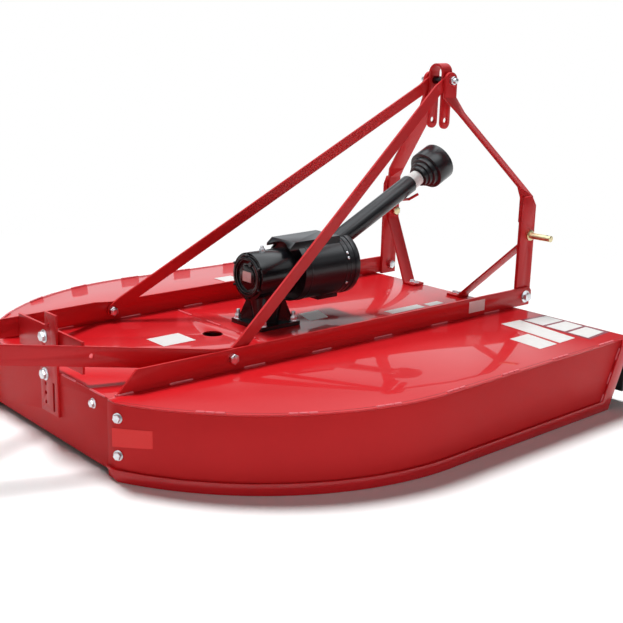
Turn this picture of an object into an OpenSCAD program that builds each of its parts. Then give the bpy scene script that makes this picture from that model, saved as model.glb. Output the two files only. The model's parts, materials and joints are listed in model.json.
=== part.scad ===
/* [Deck] */
// half width over the side skirts at the front edge
deck_half_w = 818; // [800:1:830]
// length of the deck from its front edge to its flat rear face
deck_len = 1684; // [1660:1:1700]
// height of the deck's top over the floor, standing on the runners
deck_h = 224; // [216:1:236]
// thickness of the deck plates and skirts
plate_t = 5; // [4:1:6]
// radius of the round rear corners
rear_arc_r = 858; // [850:1:866]
// how far the deck's flat rear face reaches out beyond each rail
rear_lap = 50.5; // [48:0.5:54]
// where the rear centre plate meets the front one
seam_y = 1000; // [980:1:1020]
// how far back the skirts' front edge leans at the floor
skirt_slant = 106; // [90:1:120]
// leg of the angle under the deck's front edge
angle_leg = 50; // [40:1:56]
// length of the rubber curtain under the front edge
curtain_h = 182; // [160:1:190]
// width of the bar that clamps the curtain
clamp_w = 32; // [28:1:36]
// depth of the flat rear band under the deck's top
rear_band_d = 209; // [200:1:212]
// radius of the access hole behind the gearbox
access_r = 33; // [30:1:36]

/* [Runners] */
// height of the runner strips along the skirts' foot
runner_h = 34; // [30:1:40]
// how far the runner strips stand out
runner_out = 9; // [8:1:10]
// width of the strip along the skirts' leaning front edge
lean_strip_w = 50; // [40:1:56]

/* [Rails] */
// half the distance over the two rails on the deck
rail_half = 349.5; // [345:0.5:355]
// thickness of the rails
rail_t = 8; // [7:0.5:9]
// height of the rails
rail_h = 64; // [62:1:68]

/* [Hitch frame] */
// how far ahead of the deck the uprights' foot bolts sit
foot_bolt_y = 62; // [60:1:64]
// height of the foot bolts over the deck
foot_bolt_z = 31; // [30:1:33]
// height of the lower hitch pins over the deck
pin_z = 252; // [246:1:258]
// how far ahead of the deck the lower hitch pins sit
pin_y = 68; // [66:1:70]
// radius of the lower hitch pins
pin_r = 11; // [11:0.1:11.1]
// free length of a lower hitch pin
pin_len = 85; // [80:1:90]
// width of the lower uprights
upright_w = 74; // [70:1:76]
// height of the lower uprights over the deck
upright_h = 392; // [385:1:400]
// thickness of the uprights and mast bars
mast_t = 12; // [11:0.5:13]
// width of the mast bars
mast_w = 60; // [56:1:62]
// width of the short struts from the hitch pins to the deck
strut_w = 56; // [50:1:60]
// how far behind the deck's front edge the top bolt sits
top_y = 62; // [58:1:66]
// height of the top bolt over the deck
top_z = 782; // [776:1:790]
// width of the long rear braces
brace_w = 40; // [36:1:44]
// how far ahead of the deck's rear face the braces and tail arms are bolted to the rails
brace_ahead = 422; // [414:1:434]
// height of those bolts over the deck
brace_z = 36; // [35:1:38]

/* [Top link strap] */
// clear gap between the strap's legs
strap_gap = 52; // [50:1:54]
// width of the strap
strap_w = 48; // [44:1:50]
// height of the strap's top over the top bolt
strap_rise = 60; // [56:1:64]
// how far the link holes lie under the top bolt
link_drop = 141; // [136:1:144]
// radius of the link holes
link_r = 9.75; // [9.6:0.05:9.9]

/* [Gearbox] */
// how far back the gearbox and rotor stand
gb_y = 856; // [850:1:860]
// height of the input shaft over the deck
input_z = 172; // [170:1:176]
// radius of the gearbox's lying housing
housing_r = 80; // [76:1:84]
// radius of the input guard
guard_r = 105; // [103:1:108]
// how far back the guard's open front end lies
guard_front = 527; // [524:1:534]
// how far back the guard's rear rim lies
guard_rear = 770; // [766:1:774]
// how far back the guard's hood reaches over the gearbox
hood_rear = 806; // [800:1:815]
// half width of the guard's hood
hood_half = 62; // [58:1:66]
// half width of the notch in the guard that the shaft leaves by
notch_half = 39; // [37:1:42]
// radius of the gearbox's neck
neck_r = 46; // [44:0.5:48]
// half width of the gearbox's square foot
foot_half = 82; // [78:1:84]
// thickness of the foot
foot_t = 14; // [12:1:16]
// radius of the boss under the foot
boss_r = 50; // [48:1:52]
// how far that boss reaches down under the deck's top
boss_d = 44; // [42:1:48]
// radius of the shaft that carries the blades
out_shaft_r = 20; // [19:0.5:20]

/* [Driveline] */
// how far back the first universal joint lies
cross_y = 698; // [694:1:702]
// climb of the driveline towards the front, in degrees
drive_lean = 26.1; // [25.5:0.1:26.5]
// radius of the outer guard tube
tube_r = 33; // [32:0.5:33.5]
// radius of the inner guard tube
inner_r = 28; // [27:0.5:28.5]
// radius of the universal joints' yokes
yoke_r = 36; // [34:1:37]
// distance along the driveline from the first joint to the guard bell's open end
bell_end = 722; // [715:1:735]
// radius of the bore for the tractor's shaft
coupling_r = 17.5; // [17.4:0.05:17.6]
// radius of the front guard bell
bell_r = 70; // [66:1:72]

/* [Rotor] */
// radius of the blade tips
cut_r = 762; // [740:1:768]
// radius of the circle of the blade bolts
blade_bolt_r = 235; // [230:1:240]
// width of a blade
blade_w = 75; // [70:1:80]
// thickness of a blade
blade_t = 12; // [10:1:13]
// radius of the blade pan's flat floor
pan_r = 275; // [265:1:280]
// radius of the pan's rim
pan_rim_r = 310; // [300:1:315]
// thickness of the pan
pan_t = 8; // [6:1:8]
// height of the blades' top under the deck's top
blade_d = 164; // [162:1:168]

/* [Tail wheel] */
// height of the tower plate over the deck
tower_h = 171; // [165:1:175]
// how far the tower plate reaches down behind the rear band
tower_d = 138; // [132:1:142]
// height of the tower's lowest hole, under the deck's top
tower_hole_z = -108; // [-112:1:-104]
// pitch of the tower's holes
tower_pitch = 29; // [27:0.5:30]
// how far behind the deck's rear face the swivel of the tail wheel stands
swivel_back = 456; // [450:1:466]
// rise of the tail arms for each unit of length
arm_rise = 0.105; // [0.1:0.005:0.11]
// height of the tail arm bars
arm_h = 60; // [56:1:62]
// radius of the tail wheel's tyre
wheel_r = 150; // [146:1:151]
// width of the tyre
wheel_w = 90; // [84:1:92]
// how far the axle trails behind the swivel
trail = 120; // [115:1:122]

/* [Hidden] */
$fn = 64;
front_over = foot_bolt_y + 30;
rear_half = rail_half + rear_lap;
rear_bow = sqrt(pow(rear_arc_r, 2) - pow(rear_half, 2));
rear_arc_y = deck_len - rear_bow;
access_y = seam_y + 78;
skirt_end = rail_half - 2;
swivel_y = deck_len + swivel_back;
brace_y = deck_len - brace_ahead;
rear_end = swivel_y + trail + wheel_r;
y_mid = (rear_end - front_over) / 2;
skirt_t = plate_t;
floor_z = -deck_h;
up_out = rail_half - rail_t;
up_in = up_out - mast_t;
up_y0 = -front_over;
strut_t = 8;
strut_tab = 56;
strut_foot = 48;
strut_foot_x = 132;
tabs_in = up_in - strut_t;
rail_tip_top = deck_len - 92;
rail_tip_foot = deck_len - 27;
strap_t = 8;
strap_top = top_z + strap_rise;
link_z = top_z - link_drop;
strap_out = strap_gap / 2 + strap_t;
brace_in = strap_out + 0.5;
brace_t = 8;
ear_in = brace_in + brace_t + 0.5;
ear_out = ear_in + mast_t;
mast_y = 58;
mast_lap = 92;
mast_turn = 25;
mast_foot = [up_in - mast_t / 2, -mast_y, upright_h - 4.5];
mast_knee = [up_in - 26, -mast_y + 10, upright_h + 32];
mast_neck = [ear_in + 41, top_y - 26, top_z - 114];
mast_ear = [ear_in + mast_t / 2, top_y, top_z - mast_w];
arm_t = 8;
arm_x = up_out - arm_t;
foot_in = arm_x - brace_t;
arm_end_x = 36;
arm_bend_y = brace_y + 60;
arm_end_y = swivel_y - 50;
arm_hole_y = deck_len - 29;
arm_hole_z = 80;
cross_z = 24;
cross_h = 96;
cross_t = 8;
cross_y1 = deck_len - 8;
cross_half = arm_x + (arm_end_x - arm_x) * (cross_y1 - arm_bend_y) / (arm_end_y - arm_bend_y) - 0.2;
band_half = sqrt(pow(rear_arc_r - skirt_t, 2) - pow(rear_bow, 2)) - 5.3;
brace_fall = (top_z - brace_z) / (brace_y - top_y);
brace_bend = 54;
brace_foot_bend = 34;
bolt_hole_r = 10;
pin_nut = 14;
pin_collar = 6;
linch_r = 5.5;
axle_y = swivel_y + trail;
axle_z = floor_z + wheel_r;
crown_z = axle_z + 140;
crown_t = 10;
stem_r = 25;
swivel_z = crown_z + 18;
swivel_h = 104;
axle_r = 10;
fork_in = 54;
fork_out = fork_in + 8;
hub_r = 28;
hub_half = 50;
rim_r = 84;
rim_half = 32;
disc_half = 12;
pan_z = -blade_d + 14;
pan_hub_h = 34;
pan_rim_h = 30;
blade_bolt_t = 14.9;
blade_pivot_r = 22;
housing_len = 150;
gb_rear = gb_y + 78;
cap_r = housing_r - 12.4;
guard_t = 4;
yoke_l = bell_end - 81.5;
shaft_r = 18;
cross_r = 9;
rear_tube_start = 110;
rear_tube_end = 520;
front_tube_start = 300;
tower_t = 8;
hook_r = 5;
hook_start = [up_in + 4, -40, 290];
hook_low = [34, 200, 356];
hook_rest = [-20, 214, 366];
hook_tip = [-44, 196, 385];
front_half = deck_half_w - 10;
angle_t = 6;
curtain_t = 8;
clamp_t = 6;
slope = tan(drive_lean);

// sizes in the modules count from the deck's top and front edge
module at_deck() {
    translate([0, -y_mid, -floor_z]) children();
}

// a piece and its like on the other side
module both() {
    children();
    mirror([1, 0, 0]) children();
}

// a bar or rod lying across, from x0 to x1
module across(x0, x1, y, z, r) {
    translate([x0, y, z]) rotate([0, 90, 0]) cylinder(h = x1 - x0, r = r);
}

// a hexagon lying across
module hex_across(x0, x1, y, z, r) {
    translate([x0, y, z]) rotate([0, 90, 0]) cylinder(h = x1 - x0, r = r, $fn = 6);
}

// a shape drawn as y and z, from x0 to x1
module side_shape(x0, x1) {
    translate([x0, 0, 0]) rotate([90, 0, 90]) linear_extrude(height = x1 - x0) children();
}

// the driveline's own line, l from the universal joint
module on_line(l) {
    translate([0, cross_y, input_z]) rotate([90 - drive_lean, 0, 0]) translate([0, 0, l]) children();
}

// the deck's outline, grown by g
module outline(g) {
    intersection() {
        translate([-1000, 0]) square([2000, deck_len + skirt_t + g]);
        union() {
            translate([0, rear_arc_y]) circle(r = rear_arc_r + g, $fn = 128);
            polygon([[-deck_half_w - g, 0], [deck_half_w + g, 0], [rear_arc_r + g, rear_arc_y],
                [-rear_arc_r - g, rear_arc_y]]);
        }
    }
}

// the room ahead of the skirts' leaning front edge
module lean_cut() {
    side_shape(-1000, 1000) polygon([[-300, 1], [-0.01, 1], [skirt_slant * (1 + 20 / deck_h), -deck_h - 20],
        [-300, -deck_h - 20]]);
}

module front_plate() {
    color("red") at_deck() difference() {
        translate([-rail_half, 0, -plate_t]) cube([2 * rail_half, seam_y, plate_t]);
        translate([0, gb_y, -plate_t - 1]) cylinder(h = plate_t + 2, r = boss_r + 2);
    }
}

module rear_plate() {
    color("red") at_deck() difference() {
        translate([-rail_half, seam_y, -plate_t]) cube([2 * rail_half, deck_len - seam_y, plate_t]);
        translate([0, access_y, -plate_t - 1]) cylinder(h = plate_t + 2, r = access_r);
    }
}

module wing_plates() {
    color("red") at_deck() translate([0, 0, -plate_t]) linear_extrude(height = plate_t) difference() {
        outline(0);
        translate([-rail_half, -1]) square([2 * rail_half, deck_len + 20]);
    }
}

module skirts() {
    color("red") at_deck() difference() {
        translate([0, 0, floor_z]) linear_extrude(height = deck_h - plate_t) difference() {
            outline(0);
            outline(-skirt_t);
            translate([-skirt_end, deck_len - 40]) square([2 * skirt_end, 80]);
        }
        lean_cut();
    }
}

module rear_band() {
    color("red") at_deck() difference() {
        translate([-band_half, deck_len - skirt_t, -rear_band_d])
            cube([2 * band_half, skirt_t, rear_band_d - plate_t]);
        tower_slot();
    }
}

module runner_ring() {
    difference() {
        outline(runner_out);
        outline(0.3);
        translate([-rail_half, deck_len - 200]) square([2 * rail_half, 300]);
    }
}

// the slanted rear ends of the runners
module runner_end_cut() {
    translate([0, rear_end, 0]) rotate([90, 0, 0]) linear_extrude(height = rear_end - rear_arc_y)
        polygon([[0, floor_z + runner_h - 4], [rail_half, floor_z + runner_h - 4],
        [rail_half + 56, floor_z - 1], [0, floor_z - 1]]);
}

module runners() {
    color("red") at_deck() difference() {
        union() {
            translate([0, 0, floor_z]) linear_extrude(height = runner_h) runner_ring();
            intersection() {
                translate([0, 0, floor_z]) linear_extrude(height = deck_h) runner_ring();
                side_shape(-1000, 1000) polygon([[0, 0], [lean_strip_w, 0],
                    [skirt_slant + lean_strip_w, floor_z], [skirt_slant, floor_z]]);
            }
        }
        lean_cut();
        runner_end_cut();
        mirror([1, 0, 0]) runner_end_cut();
    }
}

module rails() {
    color("red") at_deck() both() difference() {
        side_shape(rail_half - rail_t, rail_half) polygon([[0, 0], [rail_tip_foot, 0],
            [rail_tip_top, rail_h], [-foot_bolt_y - 16, rail_h], [-foot_bolt_y - 28, rail_h - 14],
            [-foot_bolt_y - 28, 18], [-foot_bolt_y - 12, 4], [-30, 0]]);
        across(rail_half - rail_t - 1, rail_half + 1, -foot_bolt_y, foot_bolt_z, bolt_hole_r);
        across(rail_half - rail_t - 1, rail_half + 1, brace_y, brace_z, bolt_hole_r);
    }
}

module front_angle() {
    color("red") at_deck() {
        translate([-front_half, 0, -angle_leg]) cube([2 * front_half, angle_t, angle_leg - plate_t]);
        translate([-front_half, 0, -plate_t - angle_t]) cube([2 * front_half, angle_leg, angle_t]);
    }
}

module front_curtain() {
    color("black") at_deck() translate([2 - front_half, -curtain_t, -8 - curtain_h])
        cube([2 * front_half - 4, curtain_t, curtain_h]);
}

module clamp_bar() {
    color("red") at_deck() translate([2 - front_half, -curtain_t - clamp_t, -44])
        cube([2 * front_half - 4, clamp_t, clamp_w]);
}

module uprights() {
    color("red") at_deck() both() difference() {
        side_shape(up_in, up_out) polygon([[up_y0, -4], [up_y0 + upright_w, -4],
            [up_y0 + upright_w, upright_h - 30], [up_y0 + upright_w - 14, upright_h],
            [up_y0 + 24, upright_h], [up_y0, upright_h - 34]]);
        across(up_in - 1, up_out + 1, -foot_bolt_y, foot_bolt_z, bolt_hole_r);
        across(up_in - 1, up_out + 1, -pin_y, pin_z, bolt_hole_r);
    }
}

// a thin cut across a mast bar, turned by a about its own length
module mast_cut(at, a) {
    translate(at) rotate([0, 0, a]) translate([-mast_t / 2, -mast_w / 2, 0])
        cube([mast_t, mast_w, 0.5]);
}

module mast_bars() {
    color("red") at_deck() both() difference() {
        union() {
            translate([up_in - mast_t, -mast_y - mast_w / 2, upright_h - mast_lap])
                cube([mast_t, mast_w, mast_lap - 4]);
            hull() {
                mast_cut(mast_foot, 0);
                mast_cut(mast_knee, -mast_turn);
            }
            hull() {
                mast_cut(mast_knee, -mast_turn);
                mast_cut(mast_neck, -mast_turn);
            }
            hull() {
                mast_cut(mast_neck, -mast_turn);
                mast_cut(mast_ear, 0);
            }
            translate([ear_in, top_y - mast_w / 2, mast_ear[2]])
                cube([mast_t, mast_w, top_z - mast_ear[2]]);
            across(ear_in, ear_out, top_y, top_z, mast_w / 2);
        }
        across(ear_in - 1, ear_out + 1, top_y, top_z, bolt_hole_r);
    }
}

module struts() {
    color("red") at_deck() both() difference() {
        union() {
            translate([tabs_in, -pin_y - strut_w / 2 + 5, pin_z - strut_tab / 2])
                cube([strut_t, strut_w, strut_tab - 2]);
            hull() {
                translate([tabs_in, -pin_y - strut_w / 2 + 5, pin_z - strut_tab / 2])
                    cube([strut_t, strut_w, 0.5]);
                translate([strut_foot_x, 0, strut_t]) cube([strut_t + 2, strut_w, 0.5]);
            }
            translate([strut_foot_x - strut_foot, 0, 0]) cube([strut_foot + 10, strut_w, strut_t]);
        }
        across(tabs_in - 1, up_in + 1, -pin_y, pin_z, bolt_hole_r);
    }
}

module brace_end(x0, x1, y, z) {
    translate([x0, y, z]) rotate([0, 90, 0]) cylinder(h = x1 - x0, r = brace_w / 2, $fn = 32);
}

module braces() {
    color("red") at_deck() both() difference() {
        union() {
            brace_end(brace_in, brace_in + brace_t, top_y, top_z);
            brace_end(foot_in, foot_in + brace_t, brace_y, brace_z);
            hull() {
                brace_end(brace_in, brace_in + brace_t, top_y + brace_bend,
                    top_z - brace_bend * brace_fall);
                brace_end(brace_in, brace_in + brace_t, top_y, top_z);
            }
            hull() {
                brace_end(brace_in, brace_in + brace_t, top_y + brace_bend,
                    top_z - brace_bend * brace_fall);
                brace_end(foot_in, foot_in + brace_t, brace_y - brace_foot_bend,
                    brace_z + brace_foot_bend * brace_fall);
            }
            hull() {
                brace_end(foot_in, foot_in + brace_t, brace_y - brace_foot_bend,
                    brace_z + brace_foot_bend * brace_fall);
                brace_end(foot_in, foot_in + brace_t, brace_y, brace_z);
            }
        }
        across(brace_in - 1, brace_in + brace_t + 1, top_y, top_z, bolt_hole_r);
        across(foot_in - 1, foot_in + brace_t + 1, brace_y, brace_z, bolt_hole_r);
    }
}

module hitch_pins() {
    color("gold") at_deck() both() difference() {
        union() {
            across(tabs_in - pin_nut, up_out + 1, -pin_y, pin_z, bolt_hole_r - 0.05);
            across(up_out, up_out + pin_collar, -pin_y, pin_z, pin_r + 8);
            across(up_out + pin_collar, up_out + pin_collar + pin_len, -pin_y, pin_z, pin_r);
            hex_across(tabs_in - pin_nut, tabs_in, -pin_y, pin_z, pin_r + 6);
        }
        translate([up_out + pin_len - 8, -pin_y, pin_z]) cylinder(h = 60, r = linch_r, center = true);
    }
}

module top_bolt() {
    color("silver") at_deck() {
        across(-ear_out - 24, ear_out + 28, top_y, top_z, 9.5);
        hex_across(-ear_out - 13, -ear_out, top_y, top_z, 16);
        hex_across(ear_out, ear_out + 16, top_y, top_z, 16);
    }
}

module top_spacer() {
    color("black") at_deck() difference() {
        across(-strap_gap / 2 + 0.3, strap_gap / 2 - 0.3, top_y, top_z, 14);
        across(-strap_gap, strap_gap, top_y, top_z, 9.6);
    }
}

module frame_bolts() {
    color("silver") at_deck() both() {
        across(up_in - 18, rail_half + 1, -foot_bolt_y, foot_bolt_z, 9.9);
        hex_across(rail_half, rail_half + 13, -foot_bolt_y, foot_bolt_z, 16);
        hex_across(up_in - 15, up_in, -foot_bolt_y, foot_bolt_z, 16);
        across(foot_in - 19, rail_half + 1, brace_y, brace_z, 9.9);
        hex_across(rail_half, rail_half + 13, brace_y, brace_z, 16);
        hex_across(foot_in - 16, foot_in, brace_y, brace_z, 16);
    }
}

// the round column between the gearbox's foot and housing
module stand_cone() {
    translate([0, 0, foot_t]) cylinder(h = input_z - foot_t - housing_r + 30, r1 = 44, r2 = 62);
}

module gearbox_stand() {
    color("black") at_deck() translate([0, gb_y, 0]) {
        difference() {
            translate([-foot_half, -foot_half, 0]) cube([2 * foot_half, 2 * foot_half, foot_t]);
            for (x = [-1, 1], y = [-1, 1]) translate([x * (foot_half - 16), y * (foot_half - 16), -1])
                cylinder(h = foot_t + 2, r = 6);
        }
        stand_cone();
        difference() {
            translate([0, 0, -boss_d]) cylinder(h = boss_d, r = boss_r);
            translate([0, 0, -boss_d - 1]) cylinder(h = 25, r = out_shaft_r + 0.06);
        }
        for (a = [45:90:315]) rotate([0, 0, a]) translate([0, 5, 14]) rotate([90, 0, 0])
            linear_extrude(height = 10) polygon([[20, -1], [92, -1], [92, 6], [56, 90], [20, 90]]);
    }
}

module gearbox_housing() {
    color("black") at_deck() difference() {
        union() {
            translate([0, gb_rear, input_z]) rotate([90, 0, 0]) cylinder(h = housing_len, r = housing_r);
            translate([0, gb_rear - housing_len + 6, input_z]) rotate([90, 0, 0])
                cylinder(h = 46, r = neck_r);
        }
        translate([0, gb_y, 0]) stand_cone();
        translate([0, gb_rear + 1, input_z]) rotate([90, 0, 0]) cylinder(h = 7, r = cap_r + 0.4);
    }
}

module gearbox_cover() {
    color("black") at_deck() {
        difference() {
            translate([0, gb_rear + 6, input_z]) rotate([90, 0, 0]) cylinder(h = 12, r = cap_r);
            translate([0, gb_rear + 7, input_z]) rotate([90, 0, 0]) cylinder(h = 7, r = cap_r - 15.6);
        }
        translate([0, gb_rear + 4, input_z]) rotate([90, 0, 0]) cylinder(h = 10, r = 38);
    }
}

module input_guard() {
    color("black") at_deck() difference() {
        union() {
            translate([0, guard_rear, input_z]) rotate([90, 0, 0])
                cylinder(h = guard_rear - guard_front, r = guard_r);
            translate([0, guard_front + 21, input_z]) rotate([90, 0, 0]) cylinder(h = 21, r = guard_r + 3);
            side_shape(-hood_half, hood_half) polygon([[guard_front + 58, input_z + 70],
                [guard_front + 58, input_z + guard_r + 4], [guard_rear + 14, input_z + guard_r + 2],
                [hood_rear, input_z + guard_r - 16], [hood_rear, input_z + 70]]);
            translate([-30, guard_front + 33, input_z - guard_r - 10]) cube([60, 90, 14]);
        }
        translate([0, guard_rear - 18, input_z]) rotate([90, 0, 0])
            cylinder(h = 400, r = guard_r - guard_t);
        translate([0, guard_rear + 190, input_z]) rotate([90, 0, 0])
            cylinder(h = 200, r = guard_r - guard_t);
        translate([0, guard_rear + 30, input_z]) rotate([90, 0, 0]) cylinder(h = 100, r = neck_r + 0.3);
        translate([-notch_half, guard_front - 1, input_z]) cube([2 * notch_half, 62, 140]);
    }
}

module input_yoke() {
    color("silver") at_deck() {
        translate([0, cross_y + 46, input_z]) rotate([90, 0, 0]) cylinder(h = 20, r = 18);
        translate([0, cross_y + 44, input_z]) rotate([90, 0, 0]) cylinder(h = 15, r = yoke_r);
        for (x = [-1, 1]) translate([x * 32 - 5, cross_y - 14, input_z - 14])
            cube([10, 46, 28]);
    }
}

module rear_shaft() {
    color("silver") at_deck() difference() {
        union() {
            across(-27, 27, cross_y, input_z, cross_r);
            on_line(0) rotate([90, 0, 0]) cylinder(h = 54, r = cross_r, center = true);
            on_line(0) translate([-12, -37, -12]) cube([24, 10, 42]);
            on_line(0) translate([-12, 27, -12]) cube([24, 10, 42]);
            on_line(28) cylinder(h = 16, r = yoke_r);
            on_line(40) cylinder(h = rear_tube_end - 20, r = shaft_r + 4);
        }
        on_line(200) cylinder(h = 400, r = shaft_r + 0.5);
    }
}

module rear_guard_tube() {
    color("black") at_deck() difference() {
        on_line(rear_tube_start) cylinder(h = rear_tube_end + 40 - rear_tube_start, r = tube_r);
        on_line(rear_tube_start - 10) cylinder(h = 20, r = shaft_r + 4.4);
        on_line(rear_tube_start + 6) cylinder(h = rear_tube_end, r = tube_r - 3);
    }
}

module front_guard_tube() {
    color("black") at_deck() difference() {
        on_line(front_tube_start) cylinder(h = bell_end - 90 - front_tube_start, r = inner_r);
        on_line(front_tube_start - 10) cylinder(h = 400, r = inner_r - 4);
    }
}

module front_bell() {
    color("black") at_deck() difference() {
        union() {
            on_line(bell_end - 114) cylinder(h = 14, r = bell_r - 32);
            on_line(bell_end - 100) cylinder(h = 14, r = bell_r - 24);
            on_line(bell_end - 86) cylinder(h = 16, r = bell_r - 14);
            on_line(bell_end - 70) cylinder(h = 70, r = bell_r);
        }
        on_line(bell_end - 124) cylinder(h = 200, r = inner_r + 0.2);
        on_line(bell_end - 82) cylinder(h = 90, r = bell_r - 18);
        on_line(bell_end - 66) cylinder(h = 80, r = bell_r - 4);
    }
}

module front_shaft() {
    color("silver") at_deck() on_line(front_tube_start + 10)
        cylinder(h = yoke_l - front_tube_start - 10, r = shaft_r);
}

module front_yoke() {
    color("silver") at_deck() difference() {
        union() {
            on_line(yoke_l) cylinder(h = 15.5, r = yoke_r - 2);
            on_line(bell_end - 68) translate([-yoke_r + 2, -12, 0]) cube([9, 24, 34]);
            on_line(bell_end - 68) translate([yoke_r - 11, -12, 0]) cube([9, 24, 34]);
            for (a = [0, 90]) on_line(bell_end - 46) rotate([90, 0, a])
                cylinder(h = 50, r = cross_r, center = true);
            on_line(bell_end - 58) translate([-12, -yoke_r + 2, 0]) cube([24, 9, 34]);
            on_line(bell_end - 58) translate([-12, yoke_r - 11, 0]) cube([24, 9, 34]);
            on_line(bell_end - 32) cylinder(h = 36, r = yoke_r - 2);
        }
        on_line(bell_end - 30) cylinder(h = 60, r = coupling_r);
    }
}

// a round bar from a to b, half a radius longer at both ends
module rod(a, b, r) {
    d = b - a;
    l = norm(d);
    translate(a) rotate([0, acos(d[2] / l), atan2(d[1], d[0])]) translate([0, 0, -r / 2])
        cylinder(h = l + r, r = r, $fn = 12);
}

module shaft_hook() {
    color("red") at_deck() {
        difference() {
            rod(hook_start, hook_low, hook_r);
            translate([up_in, -200, 200]) cube([60, 300, 200]);
        }
        rod(hook_low, hook_rest, hook_r);
        rod(hook_rest, hook_tip, hook_r);
    }
}

module tower() {
    color("red") at_deck() difference() {
        translate([0, deck_len + tower_t, 0]) rotate([90, 0, 0]) linear_extrude(height = tower_t - 0.1)
            polygon([[30, -tower_d], [30, 104], [-8, 126], [-8, tower_h], [-73, tower_h],
                [-73, -tower_d]]);
        for (z = [tower_hole_z:tower_pitch:tower_hole_z + 7.5 * tower_pitch])
            translate([0, deck_len - 20, z]) rotate([-90, 0, 0]) cylinder(h = 60, r = 6);
        translate([-33, deck_len - 20, 138]) rotate([-90, 0, 0]) cylinder(h = 60, r = 6);
        tower_slot();
    }
}

// the upright slot beside the tower's holes, through to the deck's inside
module tower_slot() {
    translate([-55, deck_len - 20, -126]) cube([12, 60, 88]);
}

module tail_arms() {
    color("red") at_deck() both() difference() {
        union() {
            across(arm_x, up_out, brace_y, brace_z, arm_h / 2);
            hull() {
                arm_cut(arm_x, brace_y);
                arm_cut(arm_x, arm_bend_y);
            }
            hull() {
                arm_cut(arm_x, arm_bend_y);
                arm_cut(arm_end_x, arm_end_y);
            }
            hull() {
                arm_cut(arm_end_x, arm_end_y);
                arm_cut(arm_end_x, swivel_y + 20);
            }
        }
        across(arm_x - 1, up_out + 1, brace_y, brace_z, bolt_hole_r);
        across(arm_end_x, arm_x, arm_hole_y, arm_hole_z, 7);
    }
}

module arm_cut(x, y) {
    translate([x, y, brace_z + arm_rise * (y - brace_y) - arm_h / 2]) cube([arm_t, 0.5, arm_h]);
}

module arm_cross() {
    color("red") at_deck() translate([-cross_half, cross_y1 - cross_t, cross_z])
        cube([2 * cross_half, cross_t, cross_h]);
}

module swivel_tube() {
    color("red") at_deck() {
        difference() {
            translate([0, swivel_y, swivel_z]) cylinder(h = swivel_h, r = stem_r + 10);
            translate([0, swivel_y, swivel_z - 8]) cylinder(h = swivel_h + 16, r = stem_r + 0.1);
        }
        translate([-35.5, arm_end_y + 4, 112]) cube([71, 8, 36]);
        translate([-12, arm_end_y + 12, 112]) cube([24, 8, 36]);
    }
}

module top_strap() {
    color("red") at_deck() difference() {
        union() {
            translate([0, top_y + strap_w / 2, strap_top - strap_out]) rotate([90, 0, 0])
                cylinder(h = strap_w, r = strap_out);
            for (x = [-strap_out, strap_gap / 2]) {
                translate([x, top_y - strap_w / 2, link_z - 7])
                    cube([strap_t, strap_w, strap_top - strap_out - link_z + 7]);
                across(x, x + strap_t, top_y, link_z - 7, strap_w / 2);
            }
        }
        translate([0, top_y + strap_w, strap_top - strap_out]) rotate([90, 0, 0])
            cylinder(h = 2 * strap_w, r = strap_gap / 2);
        translate([-strap_gap / 2, top_y - strap_w, link_z - 60])
            cube([strap_gap, 2 * strap_w, strap_top - strap_out - link_z + 60]);
        across(-60, 60, top_y, top_z, 9.6);
        across(-60, 60, top_y, link_z, link_r);
    }
}

module output_shaft() {
    color("silver") at_deck() translate([0, gb_y, pan_z]) {
        cylinder(h = -pan_z - 22, r = out_shaft_r);
        cylinder(h = pan_hub_h, r = 45);
    }
}

module blade_pan() {
    color("gray") at_deck() translate([0, gb_y, pan_z]) difference() {
        union() {
            translate([0, 0, -pan_t]) cylinder(h = pan_t, r = pan_r);
            translate([0, 0, -pan_t]) cylinder(h = pan_rim_h, r1 = pan_r, r2 = pan_rim_r);
        }
        cylinder(h = pan_rim_h + 10, r1 = pan_r - 7, r2 = pan_rim_r + 2);
        for (x = [-1, 1]) translate([x * blade_bolt_r, 0, -20])
            cylinder(h = 40, r = blade_bolt_t + 0.1);
    }
}

module blade_bolts() {
    color("silver") at_deck() for (x = [-1, 1]) translate([x * blade_bolt_r, gb_y, pan_z]) {
        translate([0, 0, -pan_t]) cylinder(h = pan_t + 4, r = blade_bolt_t);
        cylinder(h = 18, r = 26, $fn = 6);
        translate([0, 0, -pan_t - 22]) cylinder(h = 22, r = blade_pivot_r);
        translate([0, 0, -pan_t - 30]) cylinder(h = 8, r = 34);
    }
}

module blade() {
    tip = cut_r - blade_bolt_r;
    translate([0, 0, -pan_t - 5 - blade_t]) difference() {
        union() {
            cylinder(h = blade_t, r = blade_w / 2 + 4);
            translate([0, -blade_w / 2, 0]) cube([tip, blade_w, blade_t]);
        }
        translate([0, 0, -1]) cylinder(h = blade_t + 2, r = blade_pivot_r + 0.08);
        translate([200, -blade_w / 2, 0]) rotate([-30, 0, 0]) translate([0, -40, -20])
            cube([400, 40, 60]);
    }
}

module blade_a() {
    color("gray") at_deck() translate([blade_bolt_r, gb_y, pan_z]) blade();
}

module blade_b() {
    color("gray") at_deck() translate([-blade_bolt_r, gb_y, pan_z]) rotate([0, 0, 180]) blade();
}

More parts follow.
